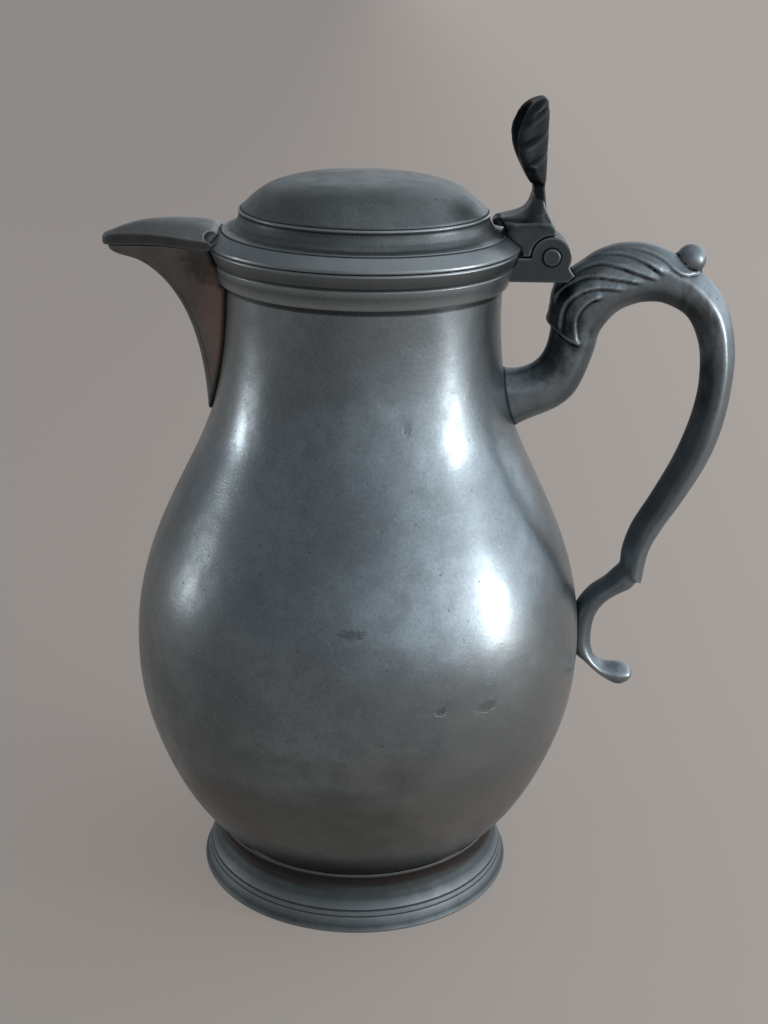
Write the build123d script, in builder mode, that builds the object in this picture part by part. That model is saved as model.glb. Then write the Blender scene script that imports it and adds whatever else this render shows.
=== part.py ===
from build123d import *
from math import cos, sin
import os

os.makedirs("parts", exist_ok=True)

# A pewter wine jug, in mm. The origin is the centre of its base, +Z is up,
# the spout points to -X and the handle to +X.

# Spreading foot
foot_r = 55.0
foot_edge = 0.6
foot_bevel = 0.8
foot_bevel_h = 1.0
foot_groove_in = 1.8
foot_groove_z = 5.8
foot_step_in = 3.1
foot_step_z = 7.8
foot_waist_r = 49.7
foot_waist_z = 13.5
foot_collar_r = 50.2
foot_h = 19.9
foot_wall = 2.4
foot_land = 3.8
foot_bead = 0.4
foot_bead_h = 0.9

# Outline of the body: radius and height at each place that sets its curve, with the flank
# and the upper belly given as how far they stand in from the widest place
base_r = 43.5
base_z = 14.5
low_r = 60.6
low_z = 33.0
flank_in = 5.5
flank_z = 55.0
belly_r = 76.5
belly_z = 88.0
upper_in = 5.6
upper_z = 121.0
shoulder_r = 58.7
shoulder_z = 148.5
throat_r = 49.6
throat_z = 170.0
neck_r = 45.3
neck_z = 197.0
seam_z = 224.0
wall = 2.2
base_wall = 2.0

# Moulding round the mouth, measured out from the neck and down from its flat top
rim_reach = 4.8
rim_h = 11.8
rim_lip = 0.9
rim_lip_h = 0.8
rim_hollow = 1.4
rim_hollow_drop = 7.9
rim_bead = 2.9
rim_bead_drop = 4.9
rim_bead_step = 0.7
rim_seat = 1.0

# Lid
lid_gap = 0.25
lid_over = 0.4
lid_edge = 0.9
lid_slope = 4.6
lid_step_h = 4.6
cove_r = 6.4
cove_h = 6.65
dome_inset = 6.1
dome_h = 10.4
dome_rows = ((1.8, 1.7), (3.8, 3.7), (8.6, 7.0), (15.8, 9.4), (21.8, 10.1))
lid_wall = 1.8
trim = 0.4
step = 0.5
ring_clearance = 0.4
ring_seat_h = 1.8
solder = 0.05
ring_drop = 3.0
ring_wall = 1.6

# Beak spout and the flap that covers it
spout_wall = 1.8
spout_root = 8.0
keel_r = 1.7
channel_start = 46.0
spout_top_drop = 0.7
flap_wall = 1.3

# Hinge
pin_reach = 9.9
pin_drop = 1.8
pin_r = 2.2
pin_clearance = 0.05
pin_head_r = 2.85
pin_head_h = 0.5
ear_r = 6.5
ear_gap = 0.35
hinge_half = 8.0
knuckle_half = 3.2
knuckle_gap = 0.2
bracket_drop = 10.0
toe_reach = 1.2
toe_h = 2.2
toe_slope = 2.1
shelf_drop = 0.4
shelf_gap = 0.5
slot_depth = 3.0
lug_h = 10.6
lug_reach = 19.0
lug_over = 1.0
lug_edge = 1.6

# Thumbpiece: its stem and shell as reach before the pin and height above the lug or the stem
stem_half = 4.6
stem_h = 12.2
stem_front = ((13.0, 0.0), (8.2, 3.4), (6.4, 11.2))
stem_back = ((6.6, 13.2), (3.0, 13.2), (2.9, 10.7), (2.0, 4.0), (1.2, 0.0))
shell_back = 2.3
shell_r = 14.0
shell_h = 26.6
shell_edge = ((7.7, 0.0), (10.9, 6.0), (13.1, 15.0), (10.5, 22.6), (4.2, 26.6))
shell_rear = ((2.9, 25.4), (2.3, 20.6), (2.3, 0.0))
cup_r = 12.8
cup_reach = 17.8
cup_h = 16.5
groove_r = 0.9
groove_rise = 6.0
groove_turn = 1.25

# Half of the shell's front outline: half width and height, three points for each lobe
lobes = ((4.6, 0.0), (8.4, 1.8), (10.0, 5.2), (12.5, 8.0), (12.4, 12.2), (13.2, 15.6), (11.5, 19.2),
         (8.2, 24.4), (0.0, 26.6))

# Handle, with a leaf that wraps its crest and a ball at the leaf's end
bar_bevel = 4.0
leaf_flutes = 5
flute_r = 1.3
ball_r = 4.9
ball_reach = 60.9
ball_drop = 3.0

foot_groove_r = foot_r - foot_groove_in
foot_step_r = foot_r - foot_step_in
flank_r = belly_r - flank_in
upper_r = belly_r - upper_in
rim_r = neck_r + rim_reach
rim_bead_r = neck_r + rim_bead
mouth_r = neck_r - wall
lid_r = rim_r + lid_over
lid_step_r = lid_r - lid_slope
dome_r = lid_step_r - dome_inset
lid_z = seam_z + lid_gap
step_z = lid_z + lid_step_h
dome_z = step_z + cove_h
pin_x = rim_r + pin_reach
pin_z = seam_z - pin_drop
sole_z = seam_z - bracket_drop
shelf_z = pin_z - shelf_drop
lug_low_z = shelf_z + shelf_gap
lug_top_z = pin_z + lug_h
shell_z = lug_top_z + stem_h
shell_x = pin_x - shell_back - shell_r

lower_curve = ((base_r, base_z), (low_r, low_z), (flank_r, flank_z), (belly_r, belly_z))
upper_curve = ((belly_r, belly_z), (upper_r, upper_z), (shoulder_r, shoulder_z),
               (throat_r, throat_z), (neck_r, neck_z), (neck_r, seam_z))
lower_ends = ((0.8, 0.6), (0, 1))
upper_ends = ((0, 1), (0, 1))


def wall_section(points, ends, thickness):
    """The section of a wall of even thickness, inside a smooth outline."""
    with BuildSketch(Plane.XZ) as section:
        with BuildLine():
            outer = Spline(*points, tangents=ends)
            places = [i / 8 for i in range(9)]
            inner = Spline(*[outer @ u + (outer % u).rotate(Axis.Z, 90) * thickness for u in places])
            Line(outer @ 0, inner @ 0)
            Line(outer @ 1, inner @ 1)
        make_face()
    return section.sketch


def plain_body(grown):
    """The body as one plain solid, to seat the outside pieces against."""
    with BuildPart() as shape:
        with BuildSketch(Plane.XZ):
            with BuildLine():
                below = Spline(*[(r + grown, z) for r, z in lower_curve], tangents=lower_ends)
                above = Spline(*[(r + grown, z) for r, z in upper_curve], tangents=upper_ends)
                Polyline(above @ 1, (0, seam_z), (0, base_z), below @ 0)
            make_face()
        revolve(axis=Axis.Z)
    return shape.part


core = plain_body(0)
solder_seat = plain_body(solder)

# Lower half of the body, from the bottom plate to the widest place
with BuildPart() as body_lower:
    revolve(wall_section(lower_curve, lower_ends, wall), axis=Axis.Z)

# Round bottom plate, let in at the lower end of the body
with BuildPart() as base_disc:
    with BuildSketch(Plane.XY.offset(base_z)):
        Circle(base_r)
    extrude(amount=base_wall)
    add(body_lower.part, mode=Mode.SUBTRACT)

# Foot ring, turned with a hollow side, a bead line and a bevelled edge
with BuildPart() as foot_ring:
    with BuildSketch(Plane.XZ):
        with BuildLine():
            edge = Line((foot_r, 0), (foot_r, foot_edge))
            bevel = Line(edge @ 1, (foot_r - foot_bevel, foot_edge + foot_bevel_h))
            base = Line(bevel @ 1, (foot_groove_r, foot_groove_z))
            bead = Line(base @ 1, (foot_step_r + foot_bead, foot_step_z - foot_bead_h))
            tier = Line(bead @ 1, (foot_step_r, foot_step_z))
            side = ThreePointArc(tier @ 1, (foot_waist_r, foot_waist_z), (foot_collar_r, foot_h))
            Polyline(side @ 1, (base_r, foot_h), (foot_waist_r - foot_wall, foot_waist_z),
                     (foot_r - foot_land, 0), edge @ 0)
        make_face()
    revolve(axis=Axis.Z)
    add(core, mode=Mode.SUBTRACT)

# Moulding round the mouth, soldered round the neck
with BuildPart() as rim_blank:
    with BuildSketch(Plane.XZ):
        with BuildLine():
            lip = Line((neck_r + rim_lip, seam_z - rim_h), (neck_r + rim_lip, seam_z - rim_h + rim_lip_h))
            hollow = ThreePointArc(lip @ 1, (neck_r + rim_hollow, seam_z - rim_hollow_drop),
                                   (rim_bead_r, seam_z - rim_bead_drop))
            bead = Line(hollow @ 1, (rim_bead_r + rim_bead_step, seam_z - rim_bead_drop + rim_bead_step))
            band = Line(bead @ 1, (rim_r, seam_z - trim))
            Polyline(band @ 1, (rim_r - trim, seam_z), (mouth_r + rim_seat, seam_z),
                     (mouth_r + rim_seat, seam_z - rim_h), lip @ 0)
        make_face()
    revolve(axis=Axis.Z)
    add(core, mode=Mode.SUBTRACT)

# Each row of the spout: depth below the seam, reach in front of the neck, half width
spout_rows = (
    (55.6, 5.8, 7.5), (49.1, 6.3, 10.6), (41.8, 7.2, 12.7), (34.7, 8.6, 13.9), (27.6, 10.7, 14.8),
    (20.9, 13.6, 15.5), (14.8, 17.5, 16.2), (9.5, 22.6, 16.8), (5.7, 28.9, 17.2), (3.5, 35.0, 17.4),
    (1.9, 36.9, 17.5), (spout_top_drop, 37.4, 17.5))


def beak(rows, inset):
    """The spout's outline, lofted up through its rows and made smaller by an inset."""
    with BuildPart() as shape:
        for drop, reach, half in rows:
            front = -(neck_r + reach) + 1.5 * inset
            back = spout_root - neck_r
            with BuildSketch(Plane.XY.offset(seam_z - drop)):
                with BuildLine():
                    tip = ThreePointArc((front + keel_r, keel_r), (front, 0), (front + keel_r, -keel_r))
                    Polyline(tip @ 0, (back, half - inset), (back, inset - half), tip @ 1)
                make_face()
        loft()
    return shape.part


spout_blank = beak(spout_rows, 0)
channel_blank = beak([row for row in spout_rows if row[0] < channel_start], spout_wall)

# Inside of the spout, open at the top and through the wall of the neck
with BuildPart() as channel:
    add(channel_blank)
    extrude(faces().sort_by(Axis.Z)[-1], amount=wall)

with BuildPart() as spout:
    add(spout_blank)
    add(core, mode=Mode.SUBTRACT)
    add(rim_blank.part, mode=Mode.SUBTRACT)
    add(channel.part, mode=Mode.SUBTRACT)

# Upper half of the body, with shoulder and neck, open behind the spout
with BuildPart() as body_upper:
    revolve(wall_section(upper_curve, upper_ends, wall), axis=Axis.Z)
    add(channel.part, mode=Mode.SUBTRACT)

with BuildPart() as rim_band:
    add(rim_blank.part)
    add(channel.part, mode=Mode.SUBTRACT)

# Side view of the hinge bracket: a flat sole, a shelf for the lid's lug and a round ear
with BuildPart() as bracket_blank:
    with BuildSketch(Plane.XZ):
        with BuildLine():
            toe_x = pin_x + ear_r + toe_reach
            ear = CenterArc((pin_x, pin_z), ear_r, -25, 205)
            Polyline(ear @ 0, (pin_x + ear_r - trim, sole_z + 2 * toe_h), (toe_x, sole_z + toe_h),
                     (toe_x - toe_slope, sole_z), (neck_r, sole_z), (neck_r, shelf_z),
                     (pin_x - ear_r, shelf_z), ear @ 1)
        make_face()
    extrude(amount=hinge_half, both=True)
    add(core, mode=Mode.SUBTRACT)
    add(rim_blank.part, mode=Mode.SUBTRACT)

# Fixed half of the hinge, slotted for the lid's knuckle and bored for the pin
with BuildPart() as hinge_bracket:
    add(bracket_blank.part)
    with BuildSketch(Plane.XZ):
        with Locations((pin_x, pin_z)):
            Circle(ear_r + ear_gap)
        with BuildLine():
            slot_x, slot_z = pin_x + ear_r + slot_depth, pin_z + ear_r + slot_depth
            Polyline((rim_r + toe_reach, shelf_z), (pin_x, pin_z - slot_depth), (slot_x, pin_z),
                     (slot_x, slot_z), (rim_r + toe_reach, slot_z), close=True)
        make_face()
    extrude(amount=knuckle_half + knuckle_gap, both=True, mode=Mode.SUBTRACT)
    with BuildSketch(Plane.XZ):
        with Locations((pin_x, pin_z)):
            Circle(pin_r)
    extrude(amount=hinge_half, both=True, mode=Mode.SUBTRACT)

# Hinge pin, fast in the bracket's ears, with a low riveted head at each end
with BuildPart() as hinge_pin:
    with BuildSketch(Plane.XZ):
        with Locations((pin_x, pin_z)):
            Circle(pin_r)
    extrude(amount=hinge_half, both=True)
    for side in (-1, 1):
        with BuildSketch(Plane.XZ.offset(side * hinge_half)):
            with Locations((pin_x, pin_z)):
                Circle(pin_head_r)
        extrude(amount=side * pin_head_h, taper=20)

# Each row of the handle: outer point and inner point as reach from the neck and
# depth below the seam, then half width
scroll_rows = (
    ((-3.0, 39.0), (2.0, 62.5), 8.4), ((3.6, 40.6), (8.2, 58.7), 8.0),
    ((10.9, 38.7), (20.6, 52.9), 7.4), ((14.3, 35.2), (25.8, 47.8), 7.3),
    ((16.4, 27.0), (31.0, 34.5), 7.8), ((15.6, 20.6), (32.6, 27.3), 8.4),
    ((18.6, 10.6), (37.5, 20.7), 8.8), ((23.5, 6.1), (40.9, 18.7), 8.9),
    ((30.5, 1.0), (44.7, 17.4), 8.9), ((38.7, -1.6), (48.5, 17.0), 8.7),
    ((47.7, -1.5), (52.9, 17.5), 8.3), ((62.2, 5.0), (61.2, 22.2), 7.6),
    ((73.1, 16.5), (65.9, 31.8), 7.2))

# The bow of the handle below them: reach from the belly and height above its widest place
bow_rows = (
    ((46.6, 103.5), (35.8, 93.0), 7.0), ((46.6, 90.0), (35.1, 85.0), 6.9),
    ((44.7, 76.1), (33.0, 76.0), 6.7), ((40.9, 64.2), (29.3, 65.4), 6.5),
    ((33.7, 50.2), (22.5, 51.4), 6.2), ((27.0, 39.0), (16.7, 40.6), 6.0),
    ((23.4, 31.0), (14.3, 32.5), 5.8), ((21.7, 18.8), (13.9, 26.6), 5.6))

# The curl at the handle's foot, measured as the bow is
curl_rows = (
    ((21.7, 18.8), (13.9, 26.6), 5.6), ((18.2, 17.4), (11.6, 24.0), 5.6),
    ((15.0, 15.8), (9.0, 21.3), 5.6),
    ((10.0, 12.4), (3.5, 17.0), 5.5), ((6.7, 7.6), (-1.5, 10.0), 5.4),
    ((5.5, 1.5), (-3.0, 1.5), 5.3), ((5.6, -4.0), (-2.0, -5.5), 5.2),
    ((7.1, -8.7), (3.9, -11.0), 5.1), ((9.7, -11.1), (7.7, -14.6), 5.1),
    ((12.8, -11.5), (11.8, -17.7), 5.1), ((16.5, -11.5), (16.3, -19.6), 5.0),
    ((19.6, -12.6), (19.5, -18.2), 4.0), ((21.0, -14.4), (21.0, -16.8), 1.6))


def bar(rows):
    """A bar of eight-sided sections, each between an outer and an inner point."""
    with BuildPart() as shape:
        for high, low, half in rows:
            across = high - low
            deep = across.length / 2
            bevel = min(bar_bevel, 0.7 * deep)
            flat = 0.42 * half
            with BuildSketch(Plane((high + low) / 2, x_dir=across, z_dir=across.cross(Vector(0, 1, 0)))):
                with BuildLine():
                    Polyline((deep, flat), (deep - bevel, half), (bevel - deep, half), (-deep, flat),
                             (-deep, -flat), (bevel - deep, -half), (deep - bevel, -half),
                             (deep, -flat), close=True)
                make_face()
        loft()
    return shape.part


def from_rim(row):
    """A row with its two points placed from the neck and the seam."""
    return [Vector(neck_r + reach, 0, seam_z - drop) for reach, drop in row[:2]] + [row[2]]


def from_belly(row):
    """A row with its two points placed from the belly's widest place."""
    return [Vector(belly_r + reach, 0, belly_z + rise) for reach, rise in row[:2]] + [row[2]]


def on_scroll(row, turn):
    """A point on the scroll's side, part way between two rows and part way round from the top."""
    first = int(row)
    share = row - first
    row_a, row_b = from_rim(scroll_rows[first]), from_rim(scroll_rows[first + 1])
    high, low, half = [a * (1 - share) + b * share for a, b in zip(row_a, row_b)]
    deep = (high - low).length / 2
    bevel = min(bar_bevel, 0.7 * deep)
    corners = ((deep, 0), (deep, 0.42 * half), (deep - bevel, half), (bevel - deep, half))
    corner = int(turn)
    (x_a, y_a), (x_b, y_b) = corners[corner:corner + 2]
    x, y = x_a + (x_b - x_a) * (turn - corner), y_a + (y_b - y_a) * (turn - corner)
    return (high + low) / 2 + (high - low).normalized() * x + Vector(0, y, 0)


scroll = bar([from_rim(row) for row in scroll_rows] + [from_belly(row) for row in bow_rows])
curl = bar([from_belly(row) for row in curl_rows])

with BuildPart() as handle:
    add(scroll)
    add(curl)
    with Locations((neck_r + ball_reach, 0, seam_z - ball_drop)):
        Sphere(ball_r)
    for flute in range(leaf_flutes):
        first_row, last_row = 5.3 + 0.72 * flute, 7.7 + 0.8 * flute
        first_turn, last_turn = 2.3 - 0.36 * flute, 2.85 - 0.15 * flute
        for side in (-1, 1):
            places = []
            for k in range(4):
                place = on_scroll(first_row + (last_row - first_row) * k / 3,
                                  first_turn + (last_turn - first_turn) * k / 3)
                places.append((place.X, side * place.Y, place.Z))
            with BuildLine():
                groove = Spline(*places)
            with BuildSketch(Plane(groove @ 0, z_dir=groove % 0)):
                Circle(flute_r)
            sweep(mode=Mode.SUBTRACT)
    add(solder_seat, mode=Mode.SUBTRACT)
    add(bracket_blank.part, mode=Mode.SUBTRACT)

# The dome's curve, from its edge to its middle: each row is how far in and how far up
dome_points = ((dome_r, dome_z), *[(dome_r - inward, dome_z + rise) for inward, rise in dome_rows],
               (0, dome_z + dome_h))
dome_ends = ((-0.5, 1), (-1, 0))

# Lid: a low dome, a hollow moulding round it and a sloping flange
with BuildPart() as lid_blank:
    with BuildSketch(Plane.XZ):
        with BuildLine():
            brim = Line((lid_r - trim, lid_z), (lid_r, lid_z + trim))
            rise = Line(brim @ 1, (lid_r, lid_z + lid_edge))
            slope = Line(rise @ 1, (lid_step_r + step, step_z - step))
            ledge = Line(slope @ 1, (lid_step_r, step_z))
            cove = RadiusArc(ledge @ 1, (dome_r - trim, dome_z - step), -cove_r)
            lip = Line(cove @ 1, (dome_r, dome_z))
            dome = Spline(*dome_points, tangents=dome_ends)
            Polyline(dome @ 1, (0, lid_z), brim @ 0)
        make_face()
    revolve(axis=Axis.Z)

with BuildPart() as lid_dome:
    add(lid_blank.part)
    with BuildSketch(Plane.XZ):
        with BuildLine():
            dome = Spline(*dome_points, tangents=dome_ends, mode=Mode.PRIVATE)
            places = [i / 8 for i in range(9)]
            hollow = Spline(*[dome @ u + (dome % u).rotate(Axis.Z, 90) * lid_wall for u in places])
            Polyline(hollow @ 1, (0, lid_z - step), (mouth_r, lid_z - step),
                     (mouth_r, lid_z + ring_seat_h), hollow @ 0)
        make_face()
    revolve(axis=Axis.Z, mode=Mode.SUBTRACT)

# Ring inside the lid, which drops into the mouth
with BuildPart() as lid_ring:
    with BuildSketch(Plane.XZ):
        with BuildLine():
            inner_r = mouth_r - ring_clearance - ring_wall
            outer_r = mouth_r - ring_clearance
            Polyline((inner_r, seam_z - ring_drop), (outer_r - trim, seam_z - ring_drop),
                     (outer_r, seam_z - ring_drop + step), (outer_r, lid_z), (mouth_r, lid_z),
                     (mouth_r, lid_z + ring_seat_h), (inner_r, lid_z + ring_seat_h), close=True)
        make_face()
    revolve(axis=Axis.Z)

# Each row of the flap: reach in front of the neck, half width, height of side, height of ridge;
# its underside lies lower than the lid's, on the spout's lower rim
flap_rows = (
    (38.6, 1.4, 1.2, 1.5), (37.6, 2.6, 1.6, 2.2), (35.6, 3.7, 2.1, 3.2), (32.0, 5.0, 2.7, 4.8),
    (26.0, 7.6, 3.4, 6.6), (18.5, 10.9, 3.8, 7.3), (10.0, 14.2, 3.6, 7.2), (3.0, 16.9, 3.2, 6.6),
    (-4.0, 19.4, 2.8, 5.9))


def flap_shape(rows, inset):
    """The flap's body, lofted from its tip back to the lid and made smaller by an inset."""
    with BuildPart() as shape:
        for reach, half, side, ridge in rows:
            with BuildSketch(Plane.YZ.offset(inset - neck_r - reach)):
                with BuildLine():
                    wide, low, high = half - inset, lid_z + side - inset, lid_z + ridge - inset
                    under = lid_z - spout_top_drop - inset
                    roof = ThreePointArc((wide, low), (0, high), (-wide, low))
                    Polyline(roof @ 1, (-wide, under), (wide, under), roof @ 0)
                make_face()
        loft()
    return shape.part


flap_blank = flap_shape(flap_rows, 0)
flap_hollow = flap_shape(flap_rows[2:], flap_wall)

# Flap over the beak, cast hollow underneath and soldered to the lid's flange
with BuildPart() as spout_flap:
    add(flap_blank)
    add(flap_hollow, mode=Mode.SUBTRACT)
    add(lid_blank.part, mode=Mode.SUBTRACT)
    with BuildSketch(Plane.XY.offset(lid_z)):
        Circle(rim_r + shelf_gap)
    extrude(amount=-spout_top_drop, mode=Mode.SUBTRACT)

# Lug on the lid's flange: a round-nosed bar, a saddle over the ears and a knuckle between them
with BuildPart() as lid_lug:
    with BuildSketch(Plane.XZ):
        with BuildLine():
            Polyline((pin_x - lug_reach, lid_z), (rim_r + shelf_gap, lid_z),
                     (rim_r + shelf_gap, lug_low_z), (pin_x - ear_r, lug_low_z), (pin_x, lug_low_z),
                     (pin_x, pin_z + ear_r), (pin_x + lug_over, pin_z + ear_r + trim),
                     (pin_x + lug_over, lug_top_z - lug_edge), (pin_x + lug_over - lug_edge, lug_top_z),
                     (pin_x - lug_reach, lug_top_z), close=True)
        make_face()
    extrude(amount=hinge_half, both=True)
    nose_edges = edges().filter_by(Axis.Z).group_by(Axis.X)[0]
    fillet(nose_edges, hinge_half - step)
    with BuildSketch(Plane.XZ):
        with Locations((pin_x, pin_z)):
            Circle(ear_r + ear_gap)
    extrude(amount=hinge_half, both=True, mode=Mode.SUBTRACT)
    with BuildSketch(Plane.XZ):
        with Locations((pin_x, pin_z)):
            Circle(ear_r)
        with BuildLine():
            Polyline((pin_x - ear_r, lug_low_z), (pin_x, lug_low_z), (pin_x, pin_z + ear_r + lug_over),
                     (pin_x - ear_r, pin_z + ear_r + lug_over), close=True)
        make_face()
    extrude(amount=knuckle_half, both=True)
    with BuildSketch(Plane.XZ):
        with Locations((pin_x, pin_z)):
            Circle(pin_r + pin_clearance)
    extrude(amount=hinge_half, both=True, mode=Mode.SUBTRACT)
    add(lid_blank.part, mode=Mode.SUBTRACT)

# Cupped shell of the thumbpiece: its plan, side and front outlines cut from one block,
# hollowed from the front and grooved between its lobes
with BuildPart() as shell:
    with BuildSketch(Plane.XY.offset(shell_z)):
        with Locations((shell_x, 0)):
            Circle(shell_r)
    extrude(amount=shell_h)
    with BuildSketch(Plane.YZ):
        with BuildLine():
            for first, middle, last in zip(lobes[0::2], lobes[1::2], lobes[2::2]):
                ThreePointArc((first[0], shell_z + first[1]), (middle[0], shell_z + middle[1]),
                              (last[0], shell_z + last[1]))
            Line((0, shell_z), (lobes[0][0], shell_z))
            mirror(about=Plane.YZ)
        make_face()
    extrude(amount=pin_x + shell_r, mode=Mode.INTERSECT)
    with BuildSketch(Plane.XZ):
        with BuildLine():
            edge = Spline(*[(pin_x - reach, shell_z + rise) for reach, rise in shell_edge])
            Polyline(edge @ 1, *[(pin_x - reach, shell_z + rise) for reach, rise in shell_rear], edge @ 0)
        make_face()
    extrude(amount=shell_r, both=True, mode=Mode.INTERSECT)
    with Locations((pin_x - cup_reach, 0, shell_z + cup_h)):
        Sphere(cup_r, mode=Mode.SUBTRACT)
    for lobe in lobes[2:8:2]:
        for side in (-1, 1):
            places = [(shell_x + shell_r * cos(angle), side * shell_r * sin(angle),
                       shell_z + lobe[1] + groove_rise * (1 - angle / groove_turn))
                      for angle in (0.1, 0.4, 0.75, groove_turn)]
            with BuildLine():
                groove = Spline(*places)
            with BuildSketch(Plane(groove @ 0, z_dir=groove % 0)):
                Circle(groove_r)
            sweep(mode=Mode.SUBTRACT)

# Thumbpiece: a curved stem on the lug, with the shell on top
with BuildPart() as thumbpiece:
    with BuildSketch(Plane.XZ):
        with BuildLine():
            front = ThreePointArc(*[(pin_x - reach, lug_top_z + rise) for reach, rise in stem_front])
            Polyline(front @ 1, *[(pin_x - reach, lug_top_z + rise) for reach, rise in stem_back], front @ 0)
        make_face()
    extrude(amount=stem_half, both=True)
    add(shell.part)

pieces = {
    "body_lower": body_lower, "base_disc": base_disc, "foot_ring": foot_ring, "rim_band": rim_band,
    "spout": spout, "body_upper": body_upper, "hinge_bracket": hinge_bracket, "hinge_pin": hinge_pin,
    "handle": handle, "lid_dome": lid_dome, "lid_ring": lid_ring, "spout_flap": spout_flap,
    "lid_lug": lid_lug, "thumbpiece": thumbpiece}

for name, piece in pieces.items():
    piece.part.label = name
    export_step(piece.part, f"parts/{name}.step")
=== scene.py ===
import math

import bmesh
import bpy
import numpy as np
from mathutils import Matrix, Vector
from mathutils.bvhtree import BVHTree


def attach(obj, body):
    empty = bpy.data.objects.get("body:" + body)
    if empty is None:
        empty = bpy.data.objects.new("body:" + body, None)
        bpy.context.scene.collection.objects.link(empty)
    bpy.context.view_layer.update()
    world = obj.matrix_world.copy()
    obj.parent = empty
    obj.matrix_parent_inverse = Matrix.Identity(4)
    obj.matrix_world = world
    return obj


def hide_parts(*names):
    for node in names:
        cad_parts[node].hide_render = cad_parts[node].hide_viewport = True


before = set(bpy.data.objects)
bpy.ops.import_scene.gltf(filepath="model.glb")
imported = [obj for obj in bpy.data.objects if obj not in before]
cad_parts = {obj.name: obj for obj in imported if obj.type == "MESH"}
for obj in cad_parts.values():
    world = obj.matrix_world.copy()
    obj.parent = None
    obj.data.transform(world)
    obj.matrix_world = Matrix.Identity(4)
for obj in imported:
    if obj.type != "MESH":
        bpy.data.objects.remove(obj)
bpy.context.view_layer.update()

# Body: a pear-shaped vessel cast in pewter as two halves, soldered at its widest place and
# skimmed on a lathe. Hands and cloths keep it satin, and long years of air have turned it
# dark blue-grey in clouds, duller towards the foot, where painted shade makes it darker and
# browner; a painted reflection makes its lower right side paler.
MM = 0.001


def linear(code):
    """An sRGB hex colour as linear red, green, blue and alpha."""
    parts = [int(code[i:i + 2], 16) / 255 for i in (1, 3, 5)]
    return [p / 12.92 if p <= 0.04045 else ((p + 0.055) / 1.055) ** 2.4 for p in parts] + [1.0]


def add(tree, kind, inputs=None, **settings):
    """Adds one node with its settings, and sets or links its inputs."""
    made = tree.nodes.new(kind)
    for key, value in settings.items():
        setattr(made, key, value)
    for key, value in (inputs or {}).items():
        if isinstance(value, bpy.types.Node):
            value = value.outputs[0]
        if isinstance(value, bpy.types.NodeSocket):
            tree.links.new(value, made.inputs[key])
        else:
            made.inputs[key].default_value = value
    return made


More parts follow.
